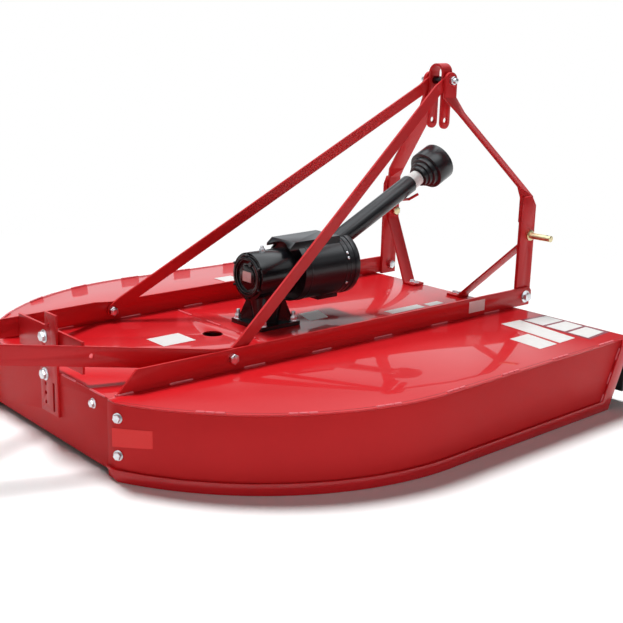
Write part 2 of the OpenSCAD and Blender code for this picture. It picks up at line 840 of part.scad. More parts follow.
module fork() {
    color("red") at_deck() {
        translate([0, swivel_y, crown_z + crown_t]) cylinder(h = swivel_h + 28, r = stem_r);
        translate([0, swivel_y, crown_z + crown_t]) cylinder(h = 7.5, r = stem_r + 9);
        translate([0, swivel_y, swivel_z + swivel_h + 2]) cylinder(h = 10, r = stem_r + 7);
        translate([-fork_out, swivel_y - 50, crown_z]) cube([2 * fork_out, 100, crown_t]);
        both() difference() {
            union() {
                side_shape(fork_in, fork_out) polygon([[swivel_y - 46, crown_z],
                    [swivel_y + 50, crown_z], [axle_y + 26, axle_z + 8], [axle_y - 26, axle_z - 8]]);
                across(fork_in, fork_out, axle_y, axle_z, 27);
            }
            across(fork_in - 4, fork_out + 4, axle_y, axle_z, axle_r + 0.1);
        }
    }
}

module axle() {
    color("silver") at_deck() {
        across(-fork_out - 2, fork_out + 4, axle_y, axle_z, axle_r);
        hex_across(-fork_out - 13, -fork_out, axle_y, axle_z, 17);
        hex_across(fork_out, fork_out + 16, axle_y, axle_z, 17);
    }
}

module wheel_hub() {
    color("red") at_deck() difference() {
        union() {
            across(-hub_half, hub_half, axle_y, axle_z, hub_r);
            across(-rim_half, rim_half, axle_y, axle_z, rim_r);
        }
        across(-hub_half - 10, hub_half + 10, axle_y, axle_z, axle_r + 0.08);
        for (x = [-hub_half, disc_half]) difference() {
            across(x, x + hub_half - disc_half, axle_y, axle_z, rim_r - 8);
            across(x - 1, x + hub_half - disc_half + 1, axle_y, axle_z, hub_r);
        }
    }
}

module tyre() {
    color("black") at_deck() translate([0, axle_y, axle_z]) rotate([0, 90, 0])
        rotate_extrude($fn = 96) polygon([[rim_r + 0.2, -wheel_w / 2 + 6], [wheel_r - 24, -wheel_w / 2],
            [wheel_r - 6, -wheel_w / 2 + 8], [wheel_r, -wheel_w / 2 + 22],
            [wheel_r, wheel_w / 2 - 22], [wheel_r - 6, wheel_w / 2 - 8],
            [wheel_r - 24, wheel_w / 2], [rim_r + 0.2, wheel_w / 2 - 6]]);
}

front_plate();
rear_plate();
wing_plates();
skirts();
rear_band();
runners();
rails();
front_angle();
front_curtain();
clamp_bar();
uprights();
mast_bars();
struts();
braces();
hitch_pins();
top_bolt();
top_spacer();
frame_bolts();
gearbox_stand();
gearbox_housing();
gearbox_cover();
input_guard();
input_yoke();
rear_shaft();
rear_guard_tube();
shaft_hook();
tower();
tail_arms();
arm_cross();
swivel_tube();
top_strap();
output_shaft();
blade_pan();
blade_bolts();
blade_a();
blade_b();
front_shaft();
front_guard_tube();
front_bell();
front_yoke();
fork();
axle();
wheel_hub();
tyre();
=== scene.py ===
"""Looks of the slasher mower: paint, fasteners, weld beads, bare plates, tyre tread and studio."""
import math

import bmesh
import bpy
from mathutils import Euler, Matrix, Vector
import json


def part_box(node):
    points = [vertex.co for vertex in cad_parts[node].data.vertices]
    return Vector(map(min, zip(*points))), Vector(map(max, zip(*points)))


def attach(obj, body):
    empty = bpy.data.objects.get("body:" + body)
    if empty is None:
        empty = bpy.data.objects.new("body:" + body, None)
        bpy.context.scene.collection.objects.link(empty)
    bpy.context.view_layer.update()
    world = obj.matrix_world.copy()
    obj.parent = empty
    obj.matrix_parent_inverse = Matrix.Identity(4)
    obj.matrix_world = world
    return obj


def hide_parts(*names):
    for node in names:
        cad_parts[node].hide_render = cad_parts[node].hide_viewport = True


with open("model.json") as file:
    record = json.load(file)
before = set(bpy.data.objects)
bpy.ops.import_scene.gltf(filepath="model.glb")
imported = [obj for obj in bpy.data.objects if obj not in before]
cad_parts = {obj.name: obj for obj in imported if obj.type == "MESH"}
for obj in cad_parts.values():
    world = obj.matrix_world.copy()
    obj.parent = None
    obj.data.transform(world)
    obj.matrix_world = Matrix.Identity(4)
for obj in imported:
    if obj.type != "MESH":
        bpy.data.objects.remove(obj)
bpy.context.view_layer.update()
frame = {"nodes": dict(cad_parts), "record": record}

MM = 0.001
FRONT_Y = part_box("front_plate")[0].y
DECK_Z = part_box("front_plate")[1].z
RAIL_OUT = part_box("rails")[1].x / MM
SIDES = (-1, 1)
UPRIGHT_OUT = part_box("uprights")[1].x / MM
RAIL_T = RAIL_OUT - UPRIGHT_OUT
DECK_LEN = (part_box("rear_plate")[1].y - FRONT_Y) / MM
SEAM_Y = (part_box("front_plate")[1].y - FRONT_Y) / MM
FRONT_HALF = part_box("front_angle")[1].x / MM + 10
ARC_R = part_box("wing_plates")[1].x / MM
ARC_Y = DECK_LEN - 759
FLOOR_Z = -DECK_Z / MM
GEAR_Y = (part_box("gearbox_stand")[0].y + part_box("gearbox_stand")[1].y) / 2 / MM - FRONT_Y / MM


def deck(x, y, z):
    """A point in millimetres from the deck's top front edge, in the frame's metres."""
    return Vector((x * MM, y * MM + FRONT_Y, z * MM + DECK_Z))


# Camera, fitted to the photograph
CAMERA_AT = deck(-2779, 3123, 985)
CAMERA_YAW = 54.36
CAMERA_DIP = 14.78
FOCAL_PX = 1097.2
CENTRE_PX = 199.6
PHOTO_PX = 623
SENSOR = 36.0


def make_camera():
    data = bpy.data.cameras.new("camera")
    data.sensor_width = SENSOR
    data.lens = FOCAL_PX / PHOTO_PX * SENSOR
    data.shift_x = (PHOTO_PX / 2 - CENTRE_PX) / PHOTO_PX
    camera = bpy.data.objects.new("camera", data)
    bpy.context.scene.collection.objects.link(camera)
    yaw = math.radians(CAMERA_YAW)
    dip = math.radians(CAMERA_DIP)
    forward = Vector((math.sin(yaw) * math.cos(dip), -math.cos(yaw) * math.cos(dip), -math.sin(dip)))
    camera.location = CAMERA_AT
    camera.rotation_mode = "QUATERNION"
    camera.rotation_quaternion = forward.to_track_quat("-Z", "Y")
    bpy.context.scene.camera = camera


make_camera()


# Materials
def new_material(name):
    material = bpy.data.materials.new(name)
    material.use_nodes = True
    return material, material.node_tree.nodes, material.node_tree.links


def bump_from(nodes, links, texture, socket, strength, distance, before=None):
    bump = nodes.new("ShaderNodeBump")
    bump.inputs["Strength"].default_value = strength
    bump.inputs["Distance"].default_value = distance
    links.new(texture.outputs[socket], bump.inputs["Height"])
    if before:
        links.new(before.outputs["Normal"], bump.inputs["Normal"])
    return bump


def noise(nodes, links, coordinate, scale, detail):
    texture = nodes.new("ShaderNodeTexNoise")
    texture.inputs["Scale"].default_value = scale
    texture.inputs["Detail"].default_value = detail
    links.new(coordinate.outputs["Object"], texture.inputs["Vector"])
    return texture


def painted(name, colour, dark, rough, coat, wave=0.0, gloss=0.5, peel=0.02):
    """Paint on sheet steel: slow waves of the sheet, fine orange peel and a faint change of shade."""
    material, nodes, links = new_material(name)
    shader = nodes["Principled BSDF"]
    coordinate = nodes.new("ShaderNodeTexCoord")
    shade = noise(nodes, links, coordinate, 3.0, 4)
    ramp = nodes.new("ShaderNodeValToRGB")
    ramp.color_ramp.elements[0].position = 0.3
    ramp.color_ramp.elements[0].color = (*dark, 1)
    ramp.color_ramp.elements[1].position = 0.7
    ramp.color_ramp.elements[1].color = (*colour, 1)
    links.new(shade.outputs["Fac"], ramp.inputs["Fac"])
    links.new(ramp.outputs["Color"], shader.inputs["Base Color"])
    shader.inputs["Roughness"].default_value = rough
    shader.inputs["Specular IOR Level"].default_value = gloss
    shader.inputs["Coat Weight"].default_value = coat
    shader.inputs["Coat Roughness"].default_value = 0.035
    grain = noise(nodes, links, coordinate, 260.0, 2)
    fine = bump_from(nodes, links, grain, "Fac", peel, 0.001)
    last = fine
    if wave:
        slow = noise(nodes, links, coordinate, 2.2, 1)
        last = bump_from(nodes, links, slow, "Fac", wave, 0.05, fine)
    links.new(last.outputs["Normal"], shader.inputs["Normal"])
    return material


def metal(name, colour, rough, scale=90.0):
    material, nodes, links = new_material(name)
    shader = nodes["Principled BSDF"]
    coordinate = nodes.new("ShaderNodeTexCoord")
    grain = noise(nodes, links, coordinate, scale, 6)
    ramp = nodes.new("ShaderNodeValToRGB")
    ramp.color_ramp.elements[0].position = 0.35
    ramp.color_ramp.elements[0].color = (*[c * 0.72 for c in colour], 1)
    ramp.color_ramp.elements[1].position = 0.65
    ramp.color_ramp.elements[1].color = (*colour, 1)
    links.new(grain.outputs["Fac"], ramp.inputs["Fac"])
    links.new(ramp.outputs["Color"], shader.inputs["Base Color"])
    shader.inputs["Metallic"].default_value = 1.0
    shader.inputs["Roughness"].default_value = rough
    bump = bump_from(nodes, links, grain, "Fac", 0.08, 0.001)
    links.new(bump.outputs["Normal"], shader.inputs["Normal"])
    return material


def plain(name, colour, rough, grain_scale=300.0, grain_bump=0.1):
    material, nodes, links = new_material(name)
    shader = nodes["Principled BSDF"]
    coordinate = nodes.new("ShaderNodeTexCoord")
    grain = noise(nodes, links, coordinate, grain_scale, 3)
    ramp = nodes.new("ShaderNodeValToRGB")
    ramp.color_ramp.elements[0].color = (*[c * 0.85 for c in colour], 1)
    ramp.color_ramp.elements[1].color = (*colour, 1)
    links.new(grain.outputs["Fac"], ramp.inputs["Fac"])
    links.new(ramp.outputs["Color"], shader.inputs["Base Color"])
    shader.inputs["Roughness"].default_value = rough
    bump = bump_from(nodes, links, grain, "Fac", grain_bump, 0.001)
    links.new(bump.outputs["Normal"], shader.inputs["Normal"])
    return material


# The top paint: the same red as on sides and bars, its colour made lighter as painted light for the deck's
# top plates.
RED = painted("red paint", (0.66, 0.014, 0.020), (0.61, 0.011, 0.016), 0.35, 0.55, 0.3, 0.1)
# The same red paint with its colour darkened as painted shade on the vertical skirts and rear band.
RED_SIDE_PAINTED_SHADE = painted("red paint darkened on sides as painted shade", (0.60, 0.020, 0.022), (0.56, 0.017, 0.019), 0.5, 0.0, 0.15, 0.12)
# The same red paint with its colour darkened as painted shade on the bars.
RED_BAR_PAINTED_SHADE = painted("red paint darkened on bars as painted shade", (0.60, 0.018, 0.022), (0.56, 0.015, 0.018), 0.4, 0.1, 0.0, 0.2, 0.0)
# Weld beads painted over in the red; their lighter, pinker colour is a painted highlight.
WELD_PAINTED_HIGHLIGHT = painted("weld paint lightened as painted highlight", (0.82, 0.14, 0.17), (0.76, 0.09, 0.11), 0.3, 0.3, 0.0, 0.5, 0.1)
# Dark red for the strip along the deck's edge seam: painted shade of the groove.
SEAM_PAINTED_SHADE = plain("painted shade in the seam", (0.16, 0.006, 0.008), 0.6, 200.0, 0.05)
BLACK = painted("black paint", (0.006, 0.006, 0.008), (0.003, 0.003, 0.004), 0.24, 0.2, 0.0, 0.35, 0.08)
PLASTIC = plain("black plastic", (0.010, 0.011, 0.014), 0.28, 120.0, 0.03)
ZINC = metal("bright zinc", (0.78, 0.79, 0.82), 0.28)
YELLOW_ZINC = metal("yellow zinc", (0.82, 0.70, 0.42), 0.3)
STEEL = metal("bare steel", (0.42, 0.42, 0.43), 0.42)
BELTING = plain("belting", (0.02, 0.02, 0.02), 0.75, 140.0, 0.5)
TYRE = plain("tyre rubber", (0.025, 0.025, 0.026), 0.8, 220.0, 0.5)
PLATE = plain("bare plate", (0.82, 0.81, 0.79), 0.35, 60.0, 0.02)
PLATE_DARK = plain("plate border", (0.20, 0.008, 0.03), 0.35, 60.0, 0.02)
REFLECTOR = plain("reflector film", (0.86, 0.012, 0.010), 0.5, 900.0, 0.05)
BLADE_STEEL = painted("blade paint", (0.05, 0.05, 0.055), (0.03, 0.03, 0.034), 0.4, 0.1)


# Mesh building
class Kit:
    """Collects simple closed forms into one mesh."""

    def __init__(self):
        self.points = []
        self.faces = []

    def add(self, points, faces):
        first = len(self.points)
        self.points += [Vector(p) for p in points]
        self.faces += [tuple(first + i for i in face) for face in faces]

    def box(self, low, high):
        xs, ys, zs = zip(low, high)
        self.slab([Vector((x, y, zs[0])) for x, y in
                   ((xs[0], ys[0]), (xs[1], ys[0]), (xs[1], ys[1]), (xs[0], ys[1]))],
                  Vector((0, 0, zs[1] - zs[0])))

    def slab(self, ring, step):
        """A closed slab from a flat ring of points, moved along step."""
        n = len(ring)
        points = list(ring) + [p + step for p in ring]
        faces = [tuple(range(n - 1, -1, -1)), tuple(range(n, 2 * n))]
        faces += [(i, (i + 1) % n, (i + 1) % n + n, i + n) for i in range(n)]
        self.add(points, faces)

    def lathe(self, base, axis, profile, segments=20, turn=0.0):
        """A closed turned form: profile is pairs of radius and height along axis, in millimetres."""
        axis = Vector(axis).normalized()
        turning = axis.to_track_quat("Z", "Y").to_matrix()
        points = []
        for radius, height in profile:
            for i in range(segments):
                a = 2 * math.pi * i / segments + turn
                local = Vector((radius * math.cos(a), radius * math.sin(a), height)) * MM
                points.append(Vector(base) + turning @ local)
        faces = [tuple(range(segments - 1, -1, -1))]
        for row in range(len(profile) - 1):
            for i in range(segments):
                j = (i + 1) % segments
                a = row * segments
                faces.append((a + i, a + j, a + segments + j, a + segments + i))
        last = (len(profile) - 1) * segments
        faces.append(tuple(range(last, last + segments)))
        self.add(points, faces)

    def ring(self, base, axis, profile, segments=48):
        """A turned form closed on itself: profile goes once round its section."""
        axis = Vector(axis).normalized()
        turning = axis.to_track_quat("Z", "Y").to_matrix()
        points = []
        for radius, height in profile:
            for i in range(segments):
                a = 2 * math.pi * i / segments
                local = Vector((radius * math.cos(a), radius * math.sin(a), height)) * MM
                points.append(Vector(base) + turning @ local)
        rows = len(profile)
        faces = []
        for row in range(rows):
            for i in range(segments):
                j = (i + 1) % segments
                a = row * segments
                b = (row + 1) % rows * segments
                faces.append((a + i, a + j, b + j, b + i))
        self.add(points, faces)

    def hexagon(self, base, axis, radius, height, turn=0.0):
        """A hexagon head or nut with its chamfered top."""
        rim = radius * 0.86
        self.lathe(base, axis, [(radius, 0), (radius, height * 0.8), (rim, height)], 6, turn)

    def washer(self, base, axis, radius, height=2.5):
        self.lathe(base, axis, [(radius, 0), (radius, height * 0.7), (radius - 0.8, height)], 24)

    def dome(self, base, axis, radius, height):
        """A rounded bolt head."""
        steps = 5
        profile = [(radius, 0)]
        for i in range(1, steps + 1):
            a = math.pi / 2 * i / steps
            profile.append((max(radius * math.cos(a), 0.4), height * math.sin(a)))
        self.lathe(base, axis, profile, 20)

    def bolt(self, base, axis, radius=12.0, height=9.0, turn=0.2):
        self.washer(base, axis, radius * 1.25)
        top = Vector(base) + Vector(axis).normalized() * 2.2 * MM
        self.hexagon(top, axis, radius, height, turn)

    def rod(self, route, radius, sides=10):
        """A round bar along a route of points."""
        rows = []
        for k, p in enumerate(route):
            ahead = route[min(k + 1, len(route) - 1)]
            behind = route[max(k - 1, 0)]
            turning = (ahead - behind).normalized().to_track_quat("Z", "Y").to_matrix()
            rows.append([p + turning @ (Vector((math.cos(a), math.sin(a), 0)) * radius * MM)
                         for a in (2 * math.pi * i / sides for i in range(sides))])
        points = [p for row in rows for p in row]
        faces = [tuple(range(sides - 1, -1, -1))]
        for k in range(len(rows) - 1):
            for i in range(sides):
                j = (i + 1) % sides
                a = k * sides
                faces.append((a + i, a + j, a + sides + j, a + sides + i))
        last = (len(rows) - 1) * sides
        faces.append(tuple(range(last, last + sides)))
        self.add(points, faces)

    def bead(self, start, end, out, width=8.0):
        """A weld bead from start to end with the ripples of its puddles."""
        length = (end - start).length / MM
        puddles = max(2, round(length / (width * 0.55)))
        along = (end - start).normalized()
        out = Vector(out).normalized()
        across = along.cross(out)
        rows = []
        for k in range(puddles * 2 + 1):
            t = k / (puddles * 2)
            swell = 1.0 if k % 2 else 0.82
            if k in (0, puddles * 2):
                swell = 0.35
            centre = start.lerp(end, t)
            rows.append([centre + (across * math.cos(a) * width / 2 * swell
                                   + out * math.sin(a) * width * 0.42 * swell) * MM
                         for a in (math.pi * i / 6 for i in range(7))])
        points = [p for row in rows for p in row]
        n = 7
        faces = [tuple(range(n - 1, -1, -1))]
        for k in range(len(rows) - 1):
            for i in range(n):
                j = (i + 1) % n
                a = k * n
                faces.append((a + i, a + j, a + n + j, a + n + i))
        last = (len(rows) - 1) * n
        faces.append(tuple(range(last, last + n)))
        self.add(points, faces)

    def piece(self, name, body, material, smooth=True, angle=40.0):
        mesh = bpy.data.meshes.new(name)
        mesh.from_pydata([tuple(p) for p in self.points], [], self.faces)
        mesh.update()
        fix = bmesh.new()
        fix.from_mesh(mesh)
        bmesh.ops.recalc_face_normals(fix, faces=fix.faces)
        fix.to_mesh(mesh)
        fix.free()
        made = bpy.data.objects.new(name, mesh)
        bpy.context.scene.collection.objects.link(made)
        mesh.materials.append(material)
        if smooth:
            smooth_by_angle(made, angle)
        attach(made, body)
        return made


def smooth_by_angle(made, angle):
    mesh = made.data
    mesh.polygons.foreach_set("use_smooth", [True] * len(mesh.polygons))
    work = bmesh.new()
    work.from_mesh(mesh)
    limit = math.radians(angle)
    for edge in work.edges:
        edge.smooth = len(edge.link_faces) == 2 and edge.calc_face_angle(0.0) < limit
    work.to_mesh(mesh)
    work.free()


# The frame's own pieces, dressed
def body_of(node):
    for body, nodes in frame["record"]["behaviour"]["bodies"].items():
        if node in nodes:
            return body
    return None


def dress(node, material, merge=0.002):
    """A copy of a CAD piece with its edges slightly rounded, in the given finish."""
    source = frame["nodes"][node]
    made = bpy.data.objects.new(node + "_dressed", source.data.copy())
    bpy.context.scene.collection.objects.link(made)
    made.matrix_world = source.matrix_world.copy()
    work = bmesh.new()
    work.from_mesh(made.data)
    bmesh.ops.remove_doubles(work, verts=work.verts, dist=merge * MM)
    bmesh.ops.dissolve_limit(work, angle_limit=math.radians(0.5), verts=work.verts, edges=work.edges)
    work.to_mesh(made.data)
    work.free()
    bevel = made.modifiers.new("edge", "BEVEL")
    bevel.width = 1.2 * MM
    bevel.segments = 2
    bevel.limit_method = "ANGLE"
    bevel.angle_limit = math.radians(38)
    bevel.harden_normals = False
    bpy.context.view_layer.update()
    depsgraph = bpy.context.evaluated_depsgraph_get()
    made.data = bpy.data.meshes.new_from_object(made.evaluated_get(depsgraph))
    made.modifiers.clear()
    made.data.materials.clear()
    made.data.materials.append(material)
    smooth_by_angle(made, 28.0)
    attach(made, body_of(node))
    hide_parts(node)
    return made


THIN_STEPS = {"mast_bars": 0.6, "struts": 0.6, "tail_arms": 0.6}
FINISHES = {
    "front_plate": RED, "rear_plate": RED, "wing_plates": RED,
    "skirts": RED_SIDE_PAINTED_SHADE, "rear_band": RED_SIDE_PAINTED_SHADE,
    # The runners take the lighter top paint, as painted light on their vertical faces.
    "runners": RED, "rails": RED_BAR_PAINTED_SHADE, "front_angle": RED_BAR_PAINTED_SHADE, "clamp_bar": RED_BAR_PAINTED_SHADE,
    "uprights": RED_BAR_PAINTED_SHADE, "mast_bars": RED_BAR_PAINTED_SHADE, "struts": RED_BAR_PAINTED_SHADE, "shaft_hook": RED_BAR_PAINTED_SHADE,
    "tower": RED_BAR_PAINTED_SHADE, "tail_arms": RED_BAR_PAINTED_SHADE, "arm_cross": RED_BAR_PAINTED_SHADE,
    "swivel_tube": RED_BAR_PAINTED_SHADE, "top_strap": RED_BAR_PAINTED_SHADE, "fork": RED_BAR_PAINTED_SHADE, "wheel_hub": RED_BAR_PAINTED_SHADE,
    "blade_pan": RED_BAR_PAINTED_SHADE, "blade_a": BLADE_STEEL, "blade_b": BLADE_STEEL,
    "gearbox_stand": BLACK, "gearbox_housing": BLACK, "gearbox_cover": BLACK, "top_spacer": BLACK,
    "input_guard": PLASTIC, "rear_guard_tube": PLASTIC, "front_guard_tube": PLASTIC,
    "front_bell": PLASTIC, "top_bolt": ZINC, "frame_bolts": ZINC, "input_yoke": STEEL,
    "rear_shaft": STEEL, "output_shaft": STEEL, "blade_bolts": STEEL, "front_shaft": STEEL,
    "front_yoke": STEEL, "axle": ZINC, "hitch_pins": YELLOW_ZINC,
}
for node_name, finish in FINISHES.items():
    dress(node_name, finish, THIN_STEPS.get(node_name, 0.002))


# Edge of the deck
def edge_point(s, side, grow=0.0):
    """A point and outward direction s millimetres along the deck's side edge from the front."""
    lean = ARC_R - FRONT_HALF
    straight = math.hypot(ARC_Y, lean)
    if s < straight:
        t = s / straight
        out = Vector((ARC_Y, -lean)).normalized()
        x = FRONT_HALF + lean * t + out.x * grow
        y = ARC_Y * t + out.y * grow
    else:
        a = (s - straight) / ARC_R
        out = Vector((math.cos(a), math.sin(a)))
        x = out.x * (ARC_R + grow)
        y = ARC_Y + out.y * (ARC_R + grow)
    return side * x, y, Vector((side * out.x, out.y, 0))


EDGE_LENGTH = math.hypot(ARC_Y, ARC_R - FRONT_HALF) + ARC_R * math.acos(390 / ARC_R)
STITCH = 80.0
UP = Vector((0, 0, 1))


def edge_stitches(kit, side, z, grow, pitch, first, last):
    """Short welds along the deck's edge at height z."""
    s = first
    while s + STITCH < last:
        rows = [edge_point(s + STITCH * k / 3, side, grow) for k in range(4)]
        for a, b in zip(rows, rows[1:]):
            kit.bead(deck(a[0], a[1], z), deck(b[0], b[1], z), UP, 9)
        s += pitch


def make_edge_seam():
    """A thin dark strip of painted shade along the line where the deck sheet meets the skirt's upper edge.
    """
    kit = Kit()
    for side in SIDES:
        rows = []
        steps = 60
        for k in range(steps + 1):
            inner = edge_point(20 + (EDGE_LENGTH - 30) * k / steps, side, -12.6)
            outer = edge_point(20 + (EDGE_LENGTH - 30) * k / steps, side, -11.0)
            rows += [deck(inner[0], inner[1], -0.3), deck(outer[0], outer[1], -0.3),
                     deck(outer[0], outer[1], 0.2), deck(inner[0], inner[1], 0.2)]
        faces = [(0, 1, 2, 3), tuple(range(4 * steps, 4 * steps + 4))]
        for k in range(steps):
            faces += [(4 * k + i, 4 * k + (i + 1) % 4, 4 * k + 4 + (i + 1) % 4, 4 * k + 4 + i)
                      for i in range(4)]
        kit.add(rows, faces)
    kit.piece("edge_seam", "frame", SEAM_PAINTED_SHADE, False)


def make_welds():
    kit = Kit()
    for side in SIDES:
        edge_stitches(kit, side, 0.0, -7, 245, 90, EDGE_LENGTH - 20)
        for y in range(80, 1560, 265):
            for x, out in ((RAIL_OUT, 1), (RAIL_OUT - RAIL_T, -1)):
                foot = Vector((side * out, 0, 1))
                kit.bead(deck(side * x, y, 0.5), deck(side * x, y + STITCH, 0.5), foot, 8)
        for t in (0.12, 0.45, 0.75):
            kit.bead(lean_point(side, t), lean_point(side, t + 0.16), Vector((side, 0.3, 0)), 7)
        tip = deck(side * (RAIL_OUT + 0.5), DECK_LEN - 27, 1)
        kit.bead(tip, tip + Vector((0, -0.052, 0)), Vector((side, 0, 1)), 9)
        kit.bead(tip + Vector((-side * 0.009, 0.001, 0)), tip + Vector((0, 0.001, 0)), Vector((0, 1, 1)), 9)
    for x in (-300, -130, 60, 230):
        kit.bead(deck(x, SEAM_Y, 0.4), deck(x + STITCH, SEAM_Y, 0.4), UP, 8)
    for x in (-330, -170, 100, 260):
        kit.bead(deck(x, DECK_LEN + 0.5, -1), deck(x + STITCH, DECK_LEN + 0.5, -1), Vector((0, 1, 1)), 6)
    kit.piece("weld_beads", "frame", WELD_PAINTED_HIGHLIGHT)


RUNNER_H = 34
LEAN_STRIP_W = 50
SKIRT_SLANT = 106


def lean_point(side, t):
    """A point t of the way down the rear edge of the slanted strip on the skirt."""
    z = FLOOR_Z * t
    y = LEAN_STRIP_W + SKIRT_SLANT * t
    x, _, out = edge_point(y, side, 1.5)
    return deck(x, y, z)


# Fasteners
def make_zinc_bolts():
    kit = Kit()
    rear = DECK_LEN + 0.1
    tower_face = (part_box("tower")[1].y - FRONT_Y) / MM
    back = Vector((0, 1, 0))
    for side in SIDES:
        kit.bolt(deck(side * 266, rear, -38), back, 12, 9)
        for z in (-43, -150):
            a = math.asin(397 / (ARC_R + 0.5))
            out = Vector((side * math.sin(a), math.cos(a), 0))
            at = deck(side * 397, ARC_Y + math.cos(a) * (ARC_R + 0.2), z)
            kit.bolt(at, out, 12, 9)
        for x in (96, 120):
            kit.bolt(deck(side * x, 28, 8), UP, 8, 6)
    for z in (-21, 95):
        kit.bolt(deck(0, tower_face, z), back, 16, 12)
    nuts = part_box("frame_bolts")
    foot_y = nuts[0].y + 0.016
    for side in SIDES:
        at = Vector((side * (RAIL_OUT + 0.1) * MM, foot_y, DECK_Z + 0.031))
        kit.washer(at, Vector((side, 0, 0)), 22)
    return kit.piece("deck_bolts", "frame", ZINC)


def make_gearbox_studs():
    kit = Kit()
    top = (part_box("gearbox_stand")[0].z + 0.058 - DECK_Z) / MM
    for x in SIDES:
        for y in SIDES:
            at = deck(x * 66, GEAR_Y + y * 66, top)
            kit.washer(at, UP, 15)
            kit.hexagon(at + UP * 2 * MM, UP, 13, 13, 0.4 * x)
            kit.lathe(at, UP, [(7, 0), (7, 30), (5.8, 32)], 16)
            kit.washer(at + UP * 15 * MM, UP, 9, 4)
    kit.piece("gearbox_studs", "frame", ZINC)


def make_guard_details():
    kit = Kit()
    axis = Vector((0, 1, 0))
    low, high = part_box("input_guard")
    axis_z = (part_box("gearbox_cover")[0].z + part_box("gearbox_cover")[1].z) / 2
    radius = high.x / MM - 3
    for y in (38, 58, 214):
        at = Vector((0, low.y + y * MM, axis_z))
        kit.ring(at, axis, [(radius - 1, -3), (radius + 1.8, -2), (radius + 1.8, 2), (radius - 1, 3)], 72)
    kit.piece("guard_ribs", "frame", PLASTIC)
    screws = Kit()
    for a in (150, 160, 30, 330, 210):
        turn = math.radians(a)
        out = Vector((math.cos(turn), 0, math.sin(turn)))
        at = Vector((0, low.y + 0.048, axis_z)) + out * (radius + 0.2) * MM
        screws.dome(at, out, 5.5, 3)
    screws.piece("guard_screws", "frame", ZINC)


def make_cap_details():
    """The rear cap's screws, filler plug, and a blank plate at its centre."""
    low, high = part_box("gearbox_cover")
    centre = Vector((0, high.y, (low.z + high.z) / 2))
    back = Vector((0, 1, 0))
    kit = Kit()
    for k in range(6):
        a = math.radians(60 * k + 30)
        kit.hexagon(centre + Vector((math.cos(a), 0, math.sin(a))) * 0.0735, back, 5, 4, 0.3)
    kit.ring(centre + back * -0.3 * MM, back, [(66, -1), (66, 2.5), (63, 3.5), (60, 2.5), (60, -1)], 64)
    kit.hexagon(centre + Vector((-0.022, -0.001, 0.045)), back, 9, 7, 0.1)
    kit.piece("cap_details", "frame", BLACK)
    plate = Kit()
    plate.box(centre + Vector((-0.022, -0.0022, -0.017)), centre + Vector((0.022, -0.0008, 0.017)))
    plate.piece("cap_plate", "frame", PLATE, False)
    top = Kit()
    crown = Vector((0, GEAR_Y * MM + FRONT_Y + 0.02, high.z + 0.0115))
    top.hexagon(crown, UP, 11, 9, 0.2)
    top.lathe(crown + UP * 9 * MM, UP, [(6, 0), (6, 6), (4, 9)], 16)
    top.piece("gearbox_breather", "frame", ZINC)


# Blank plates and the reflector
PLATES = {
    "rear_label": [(-30, 1290), (70, 1290), (70, 1167), (-30, 1167)],
    "gearbox_label": [(24, 686), (27, 596), (-65, 631), (-68, 716)],
    "wing_strip": [(-472, 218), (-476, 125), (-723, 160), (-730, 247)],
    "wing_label": [(-608, 340), (-604, 245), (-732, 264), (-736, 353)],
    "centre_strip": [(-122, 420), (-164, 420), (-164, 254), (-122, 254)],
    "centre_small": [(-130, 230), (-164, 230), (-164, 158), (-130, 158)],
    "far_strip": [(470, 520), (640, 520), (640, 600), (470, 600)],
}
MARK_ROW = [(-489, 118), (-497, 10), (-734, 24), (-747, 126)]
MARK_BORDER = [(-476, 122), (-482, 3), (-744, 6), (-760, 136)]


def flat_plate(kit, corners, z=0.15, thick=0.5):
    ring = [deck(x, y, z) for x, y in corners]
    if (ring[1] - ring[0]).cross(ring[2] - ring[1]).z < 0:
        ring.reverse()
    kit.slab(ring, Vector((0, 0, thick * MM)))


def between(corners, u, v):
    """A point inside four corners, u along the first side's way and v along the second's."""
    a, b, c, d = (Vector(q) for q in corners)
    return (a.lerp(d, u)).lerp(b.lerp(c, u), v)


def make_plates():
    for name, corners in PLATES.items():
        kit = Kit()
        flat_plate(kit, corners)
        kit.piece(name, "frame", PLATE, False)
    row = Kit()
    for k in range(3):
        u = k * 0.35
        corners = [between(MARK_ROW, u, 0), between(MARK_ROW, u, 1),
                   between(MARK_ROW, u + 0.3, 1), between(MARK_ROW, u + 0.3, 0)]
        flat_plate(row, corners, 0.6)
    row.piece("wing_plates_row", "frame", PLATE, False)
    border = Kit()
    flat_plate(border, MARK_BORDER, 0.1, 0.4)
    border.piece("wing_plates_border", "frame", PLATE_DARK, False)
    rail = Kit()
    rail.box(deck(-RAIL_OUT - 0.6, 160, 14), deck(-RAIL_OUT - 0.1, 240, 54))
    rail.piece("rail_label", "frame", PLATE, False)
    for body, name, start, end in (("driveline_front", "shaft_label", 566, 604),):
        band = Kit()
        radius = 28
        axis = driveline_axis()
        base = driveline_point(start)
        length = end - start
        band.ring(base, axis, [(radius - 0.4, 0), (radius + 0.4, 0), (radius + 0.4, length),
                               (radius - 0.4, length)], 48)
        band.piece(name, body, PLATE)


DRIVE_LEAN = math.radians(26.1)
CROSS_Y = 698
INPUT_Z = 172


def driveline_axis():
    return Vector((0, -math.cos(DRIVE_LEAN), math.sin(DRIVE_LEAN)))


def driveline_point(length):
    return deck(0, CROSS_Y, INPUT_Z) + driveline_axis() * length * MM


